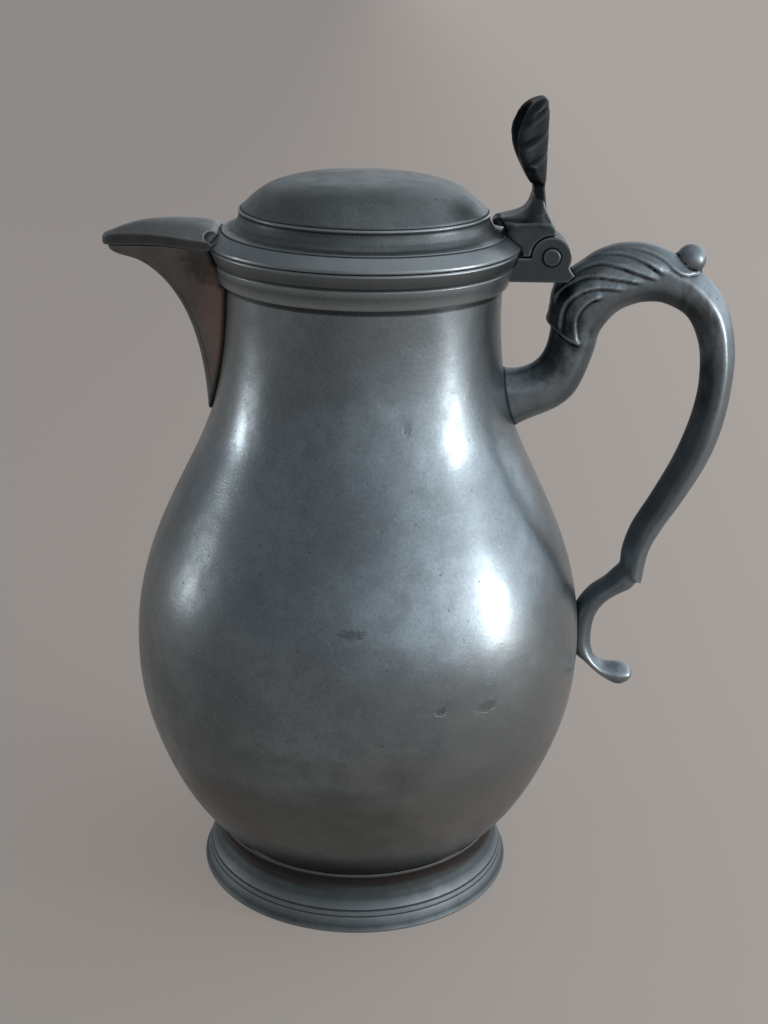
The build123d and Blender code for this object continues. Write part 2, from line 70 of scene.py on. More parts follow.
def old_pewter(name, clean, dull, warm, stained, rough, turned=True, scratched=0.12, edges=0.55,
               marks=()):
    """Old pewter, clouded with tarnish and finely scratched: a soft, low shine, never a mirror."""
    material = bpy.data.materials.new(name)
    material.use_nodes = True
    tree = material.node_tree
    tree.nodes.clear()
    place = add(tree, "ShaderNodeTexCoord").outputs["Object"]
    layers = {}
    # Each cloud: its size in mm, its detail, and the noise values between which it comes in
    for layer, size, detail, low, high in (
            ("haze", 34, 4, 0.38, 0.66), ("mottle", 6, 4, 0.40, 0.70),
            ("stain", 23, 5, 0.78 - 0.45 * stained, 0.98 - 0.45 * stained),
            ("pits", 1.5, 2, 0.70, 0.765), ("dents", 14, 1, 0.2, 0.8), ("grain", 0.9, 2, 0.2, 0.8)):
        cloud = add(tree, "ShaderNodeTexNoise",
                    {"Vector": place, "Scale": 1 / (size * MM), "Detail": detail})
        layers[layer] = add(tree, "ShaderNodeMapRange", {0: cloud, 1: low, 2: high},
                            interpolation_type="SMOOTHSTEP")

    # Lines follow the skin: distance round the axis on a turned piece, at its middle radius in
    # mm, and plain place on a casting
    skin, skin_r = place, 65
    if turned:
        spot = add(tree, "ShaderNodeSeparateXYZ", {0: place})
        turn = add(tree, "ShaderNodeMath", {0: spot.outputs[1], 1: spot.outputs[0]},
                   operation="ARCTAN2")
        along = add(tree, "ShaderNodeMath", {0: turn, 1: skin_r * MM}, operation="MULTIPLY")
        skin = add(tree, "ShaderNodeCombineXYZ", {0: along, 1: spot.outputs[2]})
    # Scratches run in four directions, and are drawn wider than their real 0.05 mm, so that
    # they show; their length is so many times their width
    scratch_width, stretch = 0.55, 14
    hairs = 0.0
    for twist in (0.2, -0.6, 1.2, 2.2):
        laid = add(tree, "ShaderNodeMapping",
                   {"Vector": skin, "Rotation": (0, 0 if turned else twist, twist),
                    "Scale": (stretch, 1, 1)}, vector_type="TEXTURE")
        hair = add(tree, "ShaderNodeTexNoise",
                   {"Vector": laid, "Scale": 1 / (scratch_width * MM), "Detail": 1})
        # Only the noise's long, thin peaks make a scratch
        hair = add(tree, "ShaderNodeMapRange", {0: hair, 1: 0.705, 2: 0.76})
        hairs = add(tree, "ShaderNodeMath", {0: hair, 1: hairs}, operation="MAXIMUM")
    layers["hairs"] = hairs
    # Edges that are rubbed bright, on the handle also painted highlights, and corners that hold
    # dirt with painted shade, found on each piece's own mesh
    for layer in ("worn", "dirt_and_shade"):
        layers[layer] = add(tree, "ShaderNodeAttribute", attribute_name=layer).outputs["Fac"]

    # Colours go on in this order, each with its share, and depths are in mm
    steps = [("haze", 0.75, dull), ("mottle", 0.4, dull), ("grain", 0.24, "#34383a"),
             ("stain", 0.35 + 0.5 * stained, warm),
             ("hairs", scratched, "#a4abaf"), ("pits", 0.5, "#2b2a28")]
    depths = [("hairs", -0.010), ("pits", -0.045), ("dents", 0.20), ("grain", 0.012)]
    # Each mark: its middle and its reach along each axis in mm, its share, depth and colour.
    # Noise is added to the distance from its middle, so that its edge is ragged
    raggedness, full, gone = 1.8, 1.4, 2.2
    # Some marks are painted shade, and one is a painted reflection
    for k, (middle, reach, share, depth, hue) in enumerate(marks):
        off = add(tree, "ShaderNodeVectorMath", {0: place, 1: [c * MM for c in middle]},
                  operation="SUBTRACT")
        off = add(tree, "ShaderNodeVectorMath", {0: off, 1: [c * MM for c in reach]},
                  operation="DIVIDE")
        away = add(tree, "ShaderNodeVectorMath", {0: off}, operation="LENGTH").outputs["Value"]
        ragged = add(tree, "ShaderNodeTexNoise", {"Vector": off, "Scale": 2.6, "Detail": 6})
        away = add(tree, "ShaderNodeMath", {0: ragged, 1: raggedness, 2: away},
                   operation="MULTIPLY_ADD")
        layers[k] = add(tree, "ShaderNodeMapRange", {0: away, 1: full, 2: gone, 3: 1.0, 4: 0.0},
                        interpolation_type="SMOOTHSTEP")
        steps.append((k, share, hue))
        depths.append((k, -depth))
    # Dirt with painted shade in hollows and between parts, then rubbed edges
    steps += [("dirt_and_shade", 0.85, "#191a1a"), ("worn", edges, "#a9b1b6")]
    colour = linear(clean)
    for layer, share, hue in steps:
        part = add(tree, "ShaderNodeMath", {0: layers[layer], 1: share}, operation="MULTIPLY")
        colour = add(tree, "ShaderNodeMix", {0: part, 6: colour, 7: linear(hue)},
                     data_type="RGBA").outputs[2]
    # Tarnish and dirt take the shine away, and rubbing brings some back
    wear, height = rough, 0.0
    for layer, share in (("haze", 0.07), ("mottle", 0.05), ("stain", 0.10), ("dirt_and_shade", 0.25),
                         ("worn", -0.06)):
        wear = add(tree, "ShaderNodeMath", {0: layers[layer], 1: share, 2: wear},
                   operation="MULTIPLY_ADD")
    # The skimming tool left faint rings, so many mm wide
    if turned:
        ring_width = 0.9
        laid = add(tree, "ShaderNodeMapping", {"Vector": skin, "Scale": (0.01, 1, 1)})
        layers["rings"] = add(tree, "ShaderNodeTexNoise",
                              {"Vector": laid, "Scale": 1 / (ring_width * MM)})
        depths.append(("rings", 0.014))
    for layer, depth in depths:
        height = add(tree, "ShaderNodeMath", {0: layers[layer], 1: depth, 2: height},
                     operation="MULTIPLY_ADD")
    bump = add(tree, "ShaderNodeBump", {"Strength": 0.6, "Distance": MM, "Height": height})
    shader = add(tree, "ShaderNodeBsdfPrincipled", {"Base Color": colour, "Metallic": 1.0,
                                                    "Roughness": wear, "Normal": bump})
    add(tree, "ShaderNodeOutputMaterial", {"Surface": shader})
    return material


# Skimmed pewter, handled but never polished again: satin blue-grey under uneven clouds. Its
# marks are painted shade low down, a band of painted shade where the body meets the foot,
# three dents, a paler lower right side that is a painted reflection of the bright table, a
# dent high up and a dark line just under the mouth moulding
body_marks_and_painted_light = (
    # Painted shade: the lower body, and a near-black band where it meets the foot
    ((0, 0, 34), (200, 200, 40), 0.6, 0.0, "#605f5c"),
    ((0, 0, 14), (80, 80, 9), 0.9, 0.0, "#1d1b19"),
    ((40.4, -64.6, 91.2), (4.4, 4.4, 1.9), 0.4, 0.1, "#211f1d"),
    ((25.9, -71.7, 92.7), (2.2, 3, 1.4), 0.3, 0.15, "#211f1d"),
    ((-2.5, -75, 118.2), (4.4, 9, 1.5), 0.4, 0.15, "#211f1d"),
    # Painted reflection: the lower right side made paler, as the bright table would show in it
    ((56, -50, 66), (52, 52, 44), 0.35, 0.0, "#a3a6a8"),
    ((14, -46.7, 175.5), (1.4, 4, 2.2), 0.25, 0.1, "#2b2927"),
    ((0, 0, 211.8), (300, 300, 1.1), 0.8, 0.0, "#1f1e1d"))
body_pewter = old_pewter("pewter_skimmed_and_tarnished", "#8a949a", "#70787c", "#746c63", 0.25,
                         0.28, scratched=0.3, marks=body_marks_and_painted_light)
for node in ("body_lower", "body_upper", "base_disc"):
    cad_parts[node].data.materials.clear()
    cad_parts[node].data.materials.append(body_pewter)

# Foot: a spreading ring of cast pewter, turned with a groove, a bead and a hollow side, and
# soldered under the body. Its corners are worn round, dirt with painted shade lies in the
# groove, and painted shade darkens the top of its hollow side under the collar.

# Points closer than this, in metres, become one
weld = 1e-6


def lathe_tree():
    """Turns an outline's points, each at its radius and height, into rings round the axis."""
    tree = bpy.data.node_groups.new("lathe", "GeometryNodeTree")
    for label, way, kind in (("Outline", "INPUT", "Geometry"), ("Facets", "INPUT", "Int"),
                             ("Unevenness", "INPUT", "Float"), ("Ripple", "INPUT", "Float"),
                             ("Finish", "INPUT", "Material"), ("Turned", "OUTPUT", "Geometry")):
        tree.interface.new_socket(name=label, in_out=way, socket_type="NodeSocket" + kind)
    given = add(tree, "NodeGroupInput").outputs
    size = add(tree, "GeometryNodeAttributeDomainSize", {"Geometry": given["Outline"]})
    count = size.outputs["Point Count"]
    rows = add(tree, "ShaderNodeMath", {0: count, 1: 1}, operation="ADD")
    columns = add(tree, "ShaderNodeMath", {0: given["Facets"], 1: 1}, operation="ADD")
    # A sheet of rows and columns, whose every point takes its seat in the outline and turns
    # with its column; the last row and column meet the first
    sheet = add(tree, "GeometryNodeMeshGrid", {"Vertices X": columns, "Vertices Y": rows})
    index = add(tree, "GeometryNodeInputIndex")
    row = add(tree, "ShaderNodeMath", {0: index, 1: rows}, operation="MODULO")
    point = add(tree, "ShaderNodeMath", {0: row, 1: count}, operation="MODULO")
    column = add(tree, "ShaderNodeMath", {0: index, 1: rows}, operation="DIVIDE")
    column = add(tree, "ShaderNodeMath", {0: column}, operation="FLOOR")
    column = add(tree, "ShaderNodeMath", {0: column, 1: math.tau}, operation="MULTIPLY")
    turn = add(tree, "ShaderNodeMath", {0: column, 1: given["Facets"]}, operation="DIVIDE")
    place = add(tree, "GeometryNodeInputPosition")
    seat = add(tree, "GeometryNodeSampleIndex",
               {"Geometry": given["Outline"], "Value": place, "Index": point},
               data_type="FLOAT_VECTOR")
    ring = add(tree, "ShaderNodeVectorRotate", {"Vector": seat, "Angle": turn},
               rotation_type="Z_AXIS")
    # Hand skimming leaves a ring very slightly out of round
    wobble = add(tree, "ShaderNodeTexNoise",
                 {"Vector": ring, "Scale": given["Ripple"], "Detail": 1.0})
    wobble = add(tree, "ShaderNodeMath", {0: wobble, 1: 0.5}, operation="SUBTRACT")
    swell = add(tree, "ShaderNodeMath", {0: wobble, 1: given["Unevenness"], 2: 1.0},
                operation="MULTIPLY_ADD")
    swell = add(tree, "ShaderNodeCombineXYZ", {0: swell, 1: swell, 2: 1.0})
    place = add(tree, "ShaderNodeVectorMath", {0: ring, 1: swell}, operation="MULTIPLY")
    shape = add(tree, "GeometryNodeSetPosition",
                {"Geometry": sheet.outputs["Mesh"], "Position": place})
    shape = add(tree, "GeometryNodeMergeByDistance", {"Geometry": shape, "Distance": weld})
    shape = add(tree, "GeometryNodeRealizeInstances", {"Geometry": shape})
    shape = add(tree, "GeometryNodeSetMaterial", {"Geometry": shape, "Material": given["Finish"]})
    add(tree, "NodeGroupOutput", {0: shape})
    return tree


lathe = lathe_tree()


def applied(piece):
    """A piece with its modifiers made real and taken off, closed and facing outwards."""
    seen = piece.evaluated_get(bpy.context.evaluated_depsgraph_get())
    mesh = bpy.data.meshes.new_from_object(seen)
    piece.modifiers.clear()
    piece.data = mesh
    work = bmesh.new()
    work.from_mesh(mesh)
    bmesh.ops.remove_doubles(work, verts=work.verts, dist=weld)
    bmesh.ops.recalc_face_normals(work, faces=work.faces)
    work.to_mesh(mesh)
    work.free()
    mesh.shade_smooth()
    return piece


def turned_piece(name, outline, finish):
    """A piece turned from its outline of radius and height in mm."""
    facets, unevenness, ripple = 288, 0.0016, 35.0
    mesh = bpy.data.meshes.new(name)
    mesh.from_pydata([(r * MM, 0, z * MM) for r, z in outline], [], [])
    piece = bpy.data.objects.new(name, mesh)
    bpy.context.scene.collection.objects.link(piece)
    turning = piece.modifiers.new("lathe", "NODES")
    turning.node_group = lathe
    inputs = {socket.name: socket.identifier for socket in lathe.interface.items_tree
              if socket.in_out == "INPUT"}
    for label, value in (("Facets", facets), ("Unevenness", unevenness), ("Ripple", ripple),
                         ("Finish", finish)):
        turning[inputs[label]] = value
    return applied(piece)


def rounded(corners):
    """A closed outline whose corners are rounded by their own radius; one with none stays."""
    line, steps = [], 5
    for k, corner in enumerate(corners):
        spot = np.array(corner[:2], float)
        if len(corner) == 2:
            line.append(spot)
            continue
        ways, lengths = [], []
        for other in (corners[k - 1], corners[(k + 1) % len(corners)]):
            ways.append(np.array(other[:2], float) - spot)
            lengths.append(np.linalg.norm(ways[-1]))
            ways[-1] /= lengths[-1]
        half = math.acos(max(-1.0, min(1.0, float(ways[0] @ ways[1])))) / 2
        # Neighbouring rounds share a side, and each stays within its own half
        back = min(corner[2] / math.tan(half), 0.49 * min(lengths))
        first, last = spot + ways[0] * back, spot + ways[1] * back
        for t in np.linspace(0, 1, steps + 1):
            line.append((1 - t) ** 2 * first + 2 * t * (1 - t) * spot + t * t * last)
    return line


def mark_wear_dirt_and_shade(piece, against=(), bright=1.0, dark=1.0, reach=0.7):
    """Notes on each point of a piece how rubbed its edge is, and how much dirt and painted shade
    its corner holds.
    """
    mesh = piece.data
    count = len(mesh.vertices)
    spots, ways = np.empty(count * 3), np.empty(count * 3)
    mesh.vertices.foreach_get("co", spots)
    mesh.vertices.foreach_get("normal", ways)
    spots, ways = spots.reshape(-1, 3) / MM, ways.reshape(-1, 3)
    ends = np.empty(len(mesh.edges) * 2, int)
    mesh.edges.foreach_get("vertices", ends)
    a, b = ends.reshape(-1, 2).T
    run = spots[b] - spots[a]
    span = np.maximum(np.linalg.norm(run, axis=1), 1e-3)
    # How far the normals open along each edge tells a ridge from a hollow
    bend = ((ways[b] - ways[a]) * run).sum(1) / span ** 2
    degree = np.bincount(a, minlength=count) + np.bincount(b, minlength=count)
    degree = np.maximum(degree, 1)
    curve = (np.bincount(a, bend, count) + np.bincount(b, bend, count)) / degree
    for _ in range(3):
        beside = np.bincount(a, curve[b], count) + np.bincount(b, curve[a], count)
        curve = 0.5 * curve + 0.5 * beside / degree
    # Rubbing, and dirt with painted shade, begin at these bends per mm, and are full that much
    # further on
    rubbed_from, rubbed_over, held_from, held_over = 0.10, 0.55, 0.05, 0.40
    worn = np.clip((curve - rubbed_from) / rubbed_over, 0, 1) * bright
    dirt_and_shade = np.clip((-curve - held_from) / held_over, 0, 1) * dark
    for node in against:
        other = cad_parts[node].data
        tree = BVHTree.FromPolygons([v.co for v in other.vertices],
                                    [p.vertices for p in other.polygons])
        # Dirt with painted shade between the parts is full within half the reach of the other
        # piece, and gone at one and a half
        found = [tree.find_nearest(v.co, 2 * reach * MM)[3] for v in mesh.vertices]
        near = np.array([2 * reach if gap is None else gap / MM for gap in found])
        dirt_and_shade = np.maximum(dirt_and_shade, np.clip(1.5 - near / reach, 0, 1))
    for label, values in (("worn", worn * (1 - dirt_and_shade)), ("dirt_and_shade", dirt_and_shade)):
        held = mesh.attributes.new(label, "FLOAT", "POINT")
        held.data.foreach_set("value", values.astype(np.float32))


# Turned pewter that nobody polishes: darker and duller than the body, and dark brown with
# painted shade at the top of its hollow side
foot_pewter = old_pewter("pewter_turned_and_greyed", "#626a6d", "#535a5c", "#4a423b", 0.35, 0.60,
                         edges=0.35,
                         marks=(((0, 0, 18.5), (200, 200, 5.5), 0.8, 0.0, "#352b25"),))
# Radius and height of each corner in mm, with the radius of its round
foot = turned_piece("foot", rounded((
    (55.0, 0.0, 0.4), (54.95, 0.8, 0.6), (54.2, 2.0, 2.0), (53.3, 4.9, 0.25),
    (52.95, 5.15, 0.08), (53.05, 5.45, 0.12), (52.75, 6.6, 0.3), (52.3, 7.0, 0.15),
    (52.4, 7.5, 0.25), (50.9, 10.4, 5.0), (49.5, 13.8, 6.0), (49.3, 17.4, 2.0),
    (50.1, 18.9, 0.35), (50.2, 19.8, 0.3), (48.6, 18.6, 0.3), (46.6, 15.4, 0.5),
    (47.3, 12.8, 1.5), (50.6, 2.0, 1.0), (51.2, 0.0, 0.4))), foot_pewter)
mark_wear_dirt_and_shade(foot, dark=0.4)
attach(foot, "jug")
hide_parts("foot_ring")

# Mouth moulding: a turned band of pewter in two low steps, soldered round the neck under the
# lid. It is cut away behind the spout, and browner where fingers never rub.


def lofted(name, rings, finish):
    """A closed skin over rings of points in mm, with each end capped by a fan."""
    rings = np.array(rings)
    rows, count = rings.shape[:2]
    points = [*rings.reshape(-1, 3), rings[0].mean(0), rings[-1].mean(0)]
    faces = []
    for j in range(rows - 1):
        for i in range(count):
            k = (i + 1) % count
            faces.append((j * count + i, j * count + k,
                          (j + 1) * count + k, (j + 1) * count + i))
    for i in range(count):
        k = (i + 1) % count
        faces.append((k, i, rows * count))
        faces.append(((rows - 1) * count + i, (rows - 1) * count + k, rows * count + 1))
    mesh = bpy.data.meshes.new(name)
    mesh.from_pydata([tuple(p * MM) for p in points], [], faces)
    mesh.materials.append(finish)
    piece = bpy.data.objects.new(name, mesh)
    bpy.context.scene.collection.objects.link(piece)
    return applied(piece)


# Turned pewter under brown tarnish: smooth, with a weak shine and a dark line under its lip
rim_pewter = old_pewter("pewter_turned_and_browned", "#757c7e", "#60676a", "#585049", 0.45, 0.38,
                        edges=0.5, marks=(((0, 0, 221.8), (150, 150, 2.8), 0.5, 0.0, "#2b2928"),))
# Radius, height and round of each corner in mm
moulding = turned_piece("mouth_moulding", rounded((
    (44.1, 224.0), (49.8, 224.0, 0.4), (50.1, 223.3, 0.6), (48.9, 219.9, 2.0), (48.0, 218.85, 0.12),
    (48.3, 218.4, 0.25), (47.8, 216.2, 2.0), (47.2, 213.2, 0.3), (46.9, 212.6, 0.15),
    (45.6, 212.3, 0.1), (44.1, 212.2))), rim_pewter)
# The gap for the spout, in mm: height, its front's distance from the axis, and half its width
gap_rows = ((205, 59, 14.1), (212.5, 63.5, 14.9), (217, 70.5, 15.3), (220, 76.5, 15.6),
            (226, 79.5, 15.8))
gap_back, nose = 37.3, 1.2
gap = lofted("spout_gap", [[(-gap_back, -half, z), (-front + nose, -nose, z),
                            (-front + nose, nose, z), (-gap_back, half, z)]
                           for z, front, half in gap_rows], rim_pewter)
cut = moulding.modifiers.new("gap", "BOOLEAN")
cut.object, cut.operation, cut.solver = gap, "DIFFERENCE", "EXACT"
applied(moulding)
bpy.data.objects.remove(gap)
mark_wear_dirt_and_shade(moulding, ("body_upper",), dark=0.3)
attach(moulding, "jug")
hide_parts("rim_band")

# Spout: a thin beak cast in pewter, soldered over an opening in the neck. It was never
# polished inside the joint, so its flanks are dark brown-grey with a reddish bloom.


def softened(name, shape, grain, passes, finish):
    """A casting's solid shape with its hard edges worn soft: meshed finely and smoothed."""
    mesh = shape.copy()
    work = bmesh.new()
    work.from_mesh(mesh)
    bmesh.ops.remove_doubles(work, verts=work.verts, dist=weld)
    work.to_mesh(mesh)
    work.free()
    mesh.materials.clear()
    mesh.materials.append(finish)
    piece = bpy.data.objects.new(name, mesh)
    bpy.context.scene.collection.objects.link(piece)
    fine = piece.modifiers.new("fine", "REMESH")
    fine.mode, fine.voxel_size = "VOXEL", grain * MM
    soft = piece.modifiers.new("soft", "SMOOTH")
    soft.factor, soft.iterations = 0.5, passes
    return applied(piece)


# As-cast pewter, stained: a warm, dull brown-grey, with a reddish bloom low on each flank and
# nearly black patches high up by the neck
spout_marks = [((-48.5, side, 197), (6, 12, 22), 0.7, 0.0, "#85706a") for side in (-13, 13)]
spout_marks += [((-51, side, 218), (8, 9, 8), 0.5, 0.0, "#2c2623") for side in (-13, 13)]
spout_pewter = old_pewter("pewter_cast_and_stained", "#7c7a77", "#696662", "#5e5249", 0.4, 0.40,
                          turned=False, scratched=0.04, marks=spout_marks)
beak = softened("beak_spout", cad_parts["spout"].data, 0.35, 3, spout_pewter)
# Its top edge isn't level: it dips at the tip and rises halfway to the neck. In mm, the reach
# in front of the neck and the lift there, which starts below the edge
neck, lift_from, lift_over = 45.3, 217, 5
edge_reach, edge_lift = (3, 10, 18, 26, 32, 36), (0, 0.25, 0.5, 0.1, -0.4, -0.75)
for vertex in beak.data.vertices:
    reach = -vertex.co.x / MM - neck
    near_top = np.clip((vertex.co.z / MM - lift_from) / lift_over, 0, 1)
    vertex.co.z += MM * near_top * np.interp(reach, edge_reach, edge_lift)
mark_wear_dirt_and_shade(beak, ("body_upper", "rim_band"), bright=0.3, reach=1.3)
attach(beak, "jug")
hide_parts("spout")

# Handle: a scroll cast in one with its leaf, which wraps the crest in overlapping ribbons up
# to a ball, and with the small curl that meets the belly. It is soldered on at the neck and
# the belly. Palms polish the outer back; tarnish with painted shade darkens the inside of the
# bow, painted shade its underside, and dirt with painted shade lies under each ribbon.

# Rows from the neck to the belly, in mm: x and z of the bar's outer line, x and z of its inner
# line, and half its width
handle_rows = (
    (42.3, 185.0, 47.3, 161.5, 8.4), (48.9, 183.4, 53.5, 165.3, 8.0),
    (56.2, 185.3, 65.9, 171.1, 7.4), (59.6, 188.8, 71.1, 176.2, 7.3),
    (61.7, 197.0, 76.3, 189.5, 7.8), (60.9, 203.4, 77.9, 196.7, 8.4),
    (63.9, 213.4, 82.8, 203.3, 8.8), (68.8, 217.9, 86.2, 205.3, 8.9),
    (75.8, 223.0, 90.0, 206.6, 8.9), (84.0, 225.6, 93.8, 207.0, 8.7),
    (93.0, 225.5, 98.2, 206.5, 8.3), (107.5, 219.0, 106.5, 201.8, 7.6),
    (118.4, 207.5, 111.2, 192.2, 7.2), (123.1, 191.5, 112.3, 181.0, 7.0),
    (123.1, 178.0, 111.6, 173.0, 6.9), (121.2, 164.1, 109.5, 164.0, 6.7),
    (117.4, 152.2, 105.8, 153.4, 6.5), (110.2, 138.2, 99.0, 139.4, 6.2),
    (103.5, 127.0, 93.2, 128.6, 6.0), (99.9, 119.0, 90.8, 120.5, 5.8),
    (98.2, 106.8, 90.4, 114.6, 5.6))
# The curl's rows, from the bar's end to the curl's tip
curl_rows = (
    (97.5, 109.5, 91.5, 115.5, 5.2), (94.7, 105.4, 88.1, 112.0, 5.6),
    (91.5, 103.8, 85.5, 109.3, 5.6), (86.5, 100.4, 80.0, 105.0, 5.5),
    (83.2, 95.6, 75.4, 98.0, 5.4), (82.0, 89.5, 73.5, 89.5, 5.3),
    (82.1, 84.0, 74.5, 82.5, 5.2), (83.6, 79.3, 80.4, 77.0, 5.1),
    (86.2, 76.9, 84.2, 73.4, 5.1), (89.3, 76.5, 88.3, 70.3, 5.1),
    (93.0, 76.5, 92.8, 68.4, 5.0), (96.1, 75.4, 96.0, 69.8, 4.0),
    (97.3, 73.8, 97.2, 71.2, 2.0))
ball_at, ball_r = (106.2, 0, 221.0), 4.9


def through(rows, count):
    """Points on a smooth line through the rows, at even steps of its length."""
    # A Catmull-Rom spline, whose knots stand apart by the square root of the distance
    rows, steps = np.array(rows, float), 24
    ends = np.vstack([2 * rows[0] - rows[1], rows, 2 * rows[-1] - rows[-2]])
    knots = np.concatenate([[0], np.cumsum(np.linalg.norm(np.diff(rows, axis=0), axis=1) ** 0.5)])
    knots = np.concatenate([[2 * knots[0] - knots[1]], knots, [2 * knots[-1] - knots[-2]]])
    line = []
    for k in range(len(rows) - 1):
        (p0, p1, p2, p3), (t0, t1, t2, t3) = ends[k:k + 4], knots[k:k + 4]
        for t in np.linspace(t1, t2, steps, endpoint=False):
            a = ((t1 - t) * p0 + (t - t0) * p1) / (t1 - t0)
            b = ((t2 - t) * p1 + (t - t1) * p2) / (t2 - t1)
            c = ((t3 - t) * p2 + (t - t2) * p3) / (t3 - t2)
            d = ((t2 - t) * a + (t - t0) * b) / (t2 - t0)
            e = ((t3 - t) * b + (t - t1) * c) / (t3 - t1)
            line.append(((t2 - t) * d + (t - t1) * e) / (t2 - t1))
    line = np.array(line + [rows[-1]])
    length = np.concatenate([[0], np.cumsum(np.linalg.norm(np.diff(line, axis=0), axis=1))])
    places = np.linspace(0, length[-1], count)
    return np.stack([np.interp(places, length, column) for column in line.T], axis=1)


def bar(name, rows, finish):
    """A bar with rounded eight-sided sections, each between its row's outer and inner point."""
    # The bevel's depth in mm, the flat crest's share of the width, and the corners' radii in mm
    bevel, crest = 5.4, 0.34
    outer_r, flank_r, inner_r = 5, 4, 6
    rings = []
    for high_x, high_z, low_x, low_z, half in through(rows, 3 * len(rows) + 60):
        middle = np.array((high_x + low_x, 0, high_z + low_z)) / 2
        way = np.array((high_x - low_x, 0, high_z - low_z)) / 2
        deep = np.linalg.norm(way)
        cut_off, flat = min(bevel, 0.7 * deep), crest * half
        section = rounded([
            (deep, flat, outer_r), (deep - cut_off, half, flank_r),
            (cut_off - deep, half, inner_r), (-deep, flat, inner_r), (-deep, -flat, inner_r),
            (cut_off - deep, -half, inner_r), (deep - cut_off, -half, flank_r),
            (deep, -flat, outer_r)])
        rings.append([middle + way / deep * x + np.array((0, y, 0)) for x, y in section])
    return lofted(name, rings, finish)


# Each line is the lower rim of one ribbon of the leaf, as x and z on the handle's flank in
# mm, with how proud it stands; the last is the leaf's end, which stands over the stem
leaf_lines = (
    (0.95, ((72.0, 220.6), (77.2, 223.6), (83.8, 224.9), (90.7, 224.0), (95.9, 221.7),
            (99.9, 218.4), (102.2, 217.1), (106.7, 216.9), (111.2, 217.6))),
    (0.95, ((68.5, 217.6), (71.4, 220.1), (75.5, 222.3), (82.2, 223.1), (88.0, 221.8),
            (93.3, 219.0), (96.6, 216.6))),
    (0.95, ((62.4, 210.0), (65.7, 214.1), (70.6, 218.0), (75.9, 220.0), (81.7, 219.5),
            (87.0, 217.8), (91.5, 216.2), (94.7, 215.0))),
    (0.95, ((62.4, 205.5), (63.9, 210.2), (68.0, 214.0), (74.0, 216.1), (80.6, 215.6),
            (85.9, 214.8), (89.6, 213.9))),
    (0.95, ((65.0, 196.8), (65.0, 203.4), (66.4, 207.6), (69.9, 210.9), (74.9, 212.4),
            (80.7, 212.2), (84.2, 211.6))),
    (0.95, ((70.2, 194.0), (69.3, 197.6), (69.2, 202.8), (71.4, 206.6), (74.0, 208.6),
            (77.2, 209.4))),
    (1.15, ((59.5, 201.6), (61.5, 199.4), (63.8, 197.4), (67.4, 194.6), (71.0, 193.0))))


def raise_leaf(piece):
    """Moves the handle's points outwards into the leaf's ribbons, sharp below and soft above."""
    mesh = piece.data
    count = len(mesh.vertices)
    spots, ways = np.empty(count * 3), np.empty(count * 3)
    mesh.vertices.foreach_get("co", spots)
    mesh.vertices.foreach_get("normal", ways)
    spots, ways = spots.reshape(-1, 3) / MM, ways.reshape(-1, 3)
    flank = spots[:, [0, 2]]
    lift = np.zeros(count)
    near_ball = np.linalg.norm(spots - np.array(ball_at), axis=1)
    # In mm: how far each line is felt, how soft its edge is, how wide the ribbon's rise above
    # it and the groove below it are, and how far past its ends it goes; the groove's depth and
    # the fading ends are shares
    samples, margin, edge_soft, rise_width, groove_width, past_end = 90, 8, 0.28, 2.2, 0.9, 1.5
    groove, fading = 0.6, 0.10
    for proud, line in leaf_lines:
        path = through(line, samples)
        tangent = np.gradient(path, axis=0)
        tangent /= np.linalg.norm(tangent, axis=1)[:, None]
        near = (flank > path.min(0) - margin) & (flank < path.max(0) + margin)
        box = near.all(1).nonzero()[0]
        off = flank[box, None, :] - path[None]
        nearest = (off ** 2).sum(2).argmin(1)
        off = off[np.arange(len(box)), nearest]
        way = tangent[nearest]
        # Distance from the line, positive on the ribbon's side
        side = way[:, 0] * off[:, 1] - way[:, 1] * off[:, 0]
        away = np.hypot(off[:, 0], off[:, 1]) * np.sign(side)
        along = nearest / (samples - 1)
        fade = np.clip(along / fading, 0, 1) * np.clip((1 - along) / fading, 0, 1)
        past = np.clip(1 - np.abs((off * way).sum(1)) / past_end, 0, 1)
        edge = 0.5 + 0.5 * np.tanh(away / edge_soft)
        above = edge * np.exp(-np.maximum(away, 0) / rise_width)
        below = groove * (1 - edge) * np.exp(np.minimum(away, 0) / groove_width)
        lift[box] += proud * (above - below) * fade * past
    lift *= np.clip((near_ball - ball_r - 0.2) / 1.0, 0, 1)
    # The crest is rubbed flat, where the thumbpiece comes down on it
    rubbed = 0.75
    lift *= 1 - rubbed * np.clip((ways[:, 2] - 0.45) / 0.4, 0, 1)
    spots += ways * lift[:, None]
    mesh.vertices.foreach_set("co", (spots * MM).ravel())
    mesh.update()


def darkened(piece, share):
    """Adds tarnish, and on the handle painted shade, to a piece, as a share found from each point's
    place in mm and its normal.
    """
    mesh = piece.data
    count = len(mesh.vertices)
    spots, ways, held = np.empty(count * 3), np.empty(count * 3), np.empty(count)
    mesh.vertices.foreach_get("co", spots)
    mesh.vertices.foreach_get("normal", ways)
    mesh.attributes["dirt_and_shade"].data.foreach_get("value", held)
    held = np.maximum(held, share(spots.reshape(-1, 3).T / MM, ways.reshape(-1, 3).T))
    mesh.attributes["dirt_and_shade"].data.foreach_set("value", held.astype(np.float32))


